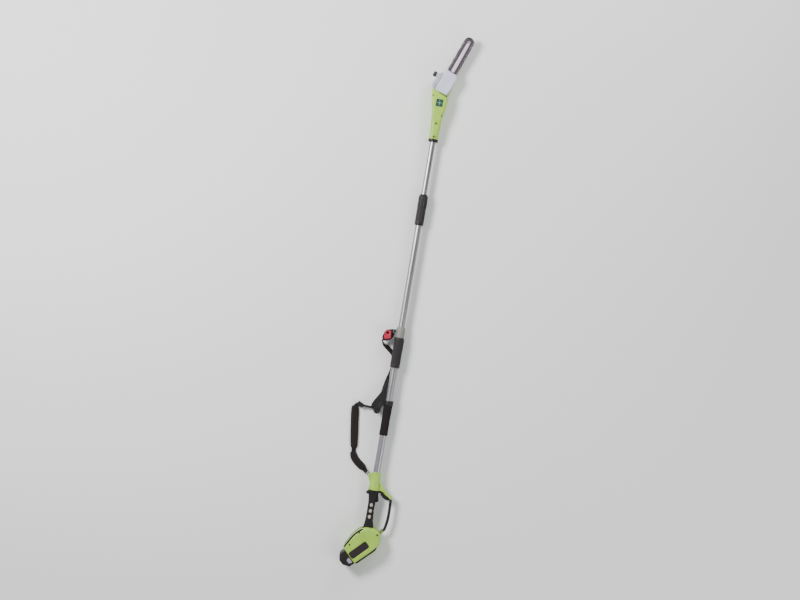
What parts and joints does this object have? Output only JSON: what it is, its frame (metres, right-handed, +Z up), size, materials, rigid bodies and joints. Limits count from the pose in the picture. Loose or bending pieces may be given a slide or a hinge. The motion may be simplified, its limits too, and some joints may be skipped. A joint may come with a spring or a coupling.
{
  "type": "telescoping pole saw",
  "caption": "Battery pole saw on a three-part telescoping pole, with a hooded rear grip, twist locks, foam grip, shoulder strap and a small chain saw head.",
  "frame": {"origin": "on the ground under the middle of the whole tool as it lies on its side", "axes": "+X along the pole towards the saw head, +Y to the strap's side, +Z up out of the tool's right side"},
  "size_m": [2.3998, 0.269, 0.08],
  "materials": {
    "green_plastic": "satin",
    "black_plastic": "satin",
    "grip_rubber": "matte",
    "foam": "matte",
    "alloy_tube": "satin",
    "grey_plastic": "satin",
    "white_nylon": "satin",
    "light_inserts": "matte",
    "dark_steel": "satin",
    "steel": "satin",
    "brass": "satin",
    "panel": "satin",
    "board_green": "satin",
    "copper": "satin",
    "webbing": "matte",
    "red_plastic": "gloss",
    "cell_blue": "gloss",
    "latch_green": "satin",
    "cover_grey": "satin",
    "tank_clear": "satin",
    "vent_dark": "satin",
    "bar_steel": "satin",
    "chain_steel": "satin",
    "cable_black": "matte"
  },
  "bodies": {
    "rear_unit": {"lower_tube": "alloy_tube", "foam_grip": "foam", "lower_lock_body": "grey_plastic", "hanger_bracket": "black_plastic", "rear_shell_left": "green_plastic", "rear_shell_right": "green_plastic", "grip_cover": "grip_rubber", "grip_inserts": "light_inserts", "hand_guard": "black_plastic", "rear_screws": "dark_steel", "side_panels": "panel", "battery_terminals": "brass", "control_board": "board_green", "trigger_switch": "grey_plastic", "trigger_spring": "steel", "coiled_cable": "cable_black", "strap_buckle": "black_plastic", "strap_front": "webbing", "strap_slider": "black_plastic", "strap_pad_long": "webbing", "strap_pad_short": "webbing", "strap_rear": "webbing", "rear_hook": "steel"},
    "trigger": {"trigger": "black_plastic"},
    "lock_button": {"lock_button": "black_plastic"},
    "battery": {"battery_case": "black_plastic", "battery_cells": "cell_blue"},
    "battery_latch": {"battery_latch": "latch_green"},
    "hanger_knob": {"hanger_knob": "black_plastic"},
    "release_tab": {"release_tab": "red_plastic"},
    "lower_collar": {"lower_collar": "black_plastic"},
    "middle_section": {"middle_tube": "alloy_tube", "middle_guide": "white_nylon", "upper_lock_body": "black_plastic"},
    "upper_collar": {"upper_collar": "black_plastic"},
    "saw_head": {"upper_tube": "alloy_tube", "upper_guide": "white_nylon", "neck_ring": "black_plastic", "head_shell_left": "green_plastic", "head_shell_right": "green_plastic", "head_screws": "dark_steel", "motor_vent": "vent_dark", "motor_case": "steel", "gear_plate": "steel", "output_bearings": "steel", "oil_pump": "white_nylon", "oil_tank": "tank_clear", "bar_fasteners": "steel", "sprocket_cover": "cover_grey", "saw_chain": "chain_steel"},
    "motor_rotor": {"motor_rotor": "copper"},
    "idler_gear": {"idler_gear": "brass"},
    "output_shaft": {"output_gear": "brass", "drive_sprocket": "steel"},
    "oil_cap": {"oil_cap": "black_plastic"},
    "guide_bar": {"guide_bar": "bar_steel", "tension_pin": "steel"},
    "tension_screw": {"tension_screw": "steel"}
  },
  "joints": [
    {"name": "trigger_pull", "type": "hinge", "parent": "rear_unit", "child": "trigger", "pos_m": [-0.85982, -0.04151, 0.04], "axis": [0, 0, -1], "range_deg": [0, 10.98], "stiffness_Nm_per_rad": 0.8, "springref_deg": -14.32, "deforming": ["trigger_spring"]},
    {"name": "lock_off_press", "type": "slide", "parent": "rear_unit", "child": "lock_button", "axis": [0, -1, 0], "range_m": [0, 0.004], "stiffness_N_per_m": 600, "springref_m": -0.002},
    {"name": "battery_slide", "type": "slide", "parent": "rear_unit", "child": "battery", "axis": [-0.7071, 0.7071, 0], "range_m": [0, 0.14]},
    {"name": "battery_latch_press", "type": "slide", "parent": "battery", "child": "battery_latch", "axis": [0.7071, -0.7071, 0], "range_m": [0, 0.002], "stiffness_N_per_m": 900, "springref_m": -0.002},
    {"name": "hanger_knob_turn", "type": "hinge", "parent": "rear_unit", "child": "hanger_knob", "pos_m": [-0.49982, 0.01949, 0.04], "axis": [0, 0, 1], "continuous": true},
    {"name": "strap_release_pull", "type": "slide", "parent": "rear_unit", "child": "release_tab", "axis": [1, 0, 0], "range_m": [0, 0.006], "stiffness_N_per_m": 500, "springref_m": -0.002},
    {"name": "lower_collar_twist", "type": "hinge", "parent": "rear_unit", "child": "lower_collar", "pos_m": [-0.21782, -0.02651, 0.04], "axis": [1, 0, 0], "range_deg": [0, 90]},
    {"name": "middle_slide", "type": "slide", "parent": "rear_unit", "child": "middle_section", "axis": [1, 0, 0], "range_m": [-0.4, 0], "deforming": ["coiled_cable"]},
    {"name": "upper_collar_twist", "type": "hinge", "parent": "middle_section", "child": "upper_collar", "pos_m": [0.40318, -0.02651, 0.04], "axis": [1, 0, 0], "range_deg": [0, 90]},
    {"name": "upper_slide", "type": "slide", "parent": "middle_section", "child": "saw_head", "axis": [1, 0, 0], "range_m": [-0.235, 0]},
    {"name": "motor_spin", "type": "hinge", "parent": "saw_head", "child": "motor_rotor", "pos_m": [0.91307, -0.01528, 0.04], "axis": [0, 0, 1], "continuous": true},
    {"name": "idler_spin", "type": "hinge", "parent": "saw_head", "child": "idler_gear", "pos_m": [0.93628, -0.02372, 0.04], "axis": [0, 0, 1], "continuous": true},
    {"name": "output_spin", "type": "hinge", "parent": "saw_head", "child": "output_shaft", "pos_m": [0.97415, -0.03751, 0.04], "axis": [0, 0, 1], "continuous": true},
    {"name": "oil_cap_turn", "type": "hinge", "parent": "saw_head", "child": "oil_cap", "pos_m": [1.01192, 0.00195, 0.04], "axis": [0.342, 0.9397, 0], "continuous": true},
    {"name": "bar_slide", "type": "slide", "parent": "saw_head", "child": "guide_bar", "axis": [0.9397, -0.342, 0], "range_m": [-0.003, 0]},
    {"name": "tension_screw_turn", "type": "hinge", "parent": "saw_head", "child": "tension_screw", "pos_m": [1.01584, -0.03991, 0.031], "axis": [0.9397, -0.342, 0], "range_deg": [-1351, 1]}
  ],
  "couplings": [
    {"joint": "motor_spin", "follows": "output_spin", "ratio": 3},
    {"joint": "idler_spin", "follows": "output_spin", "ratio": -1.3846},
    {"joint": "tension_screw_turn", "follows": "bar_slide", "rad_per_m": 7854}
  ]
}
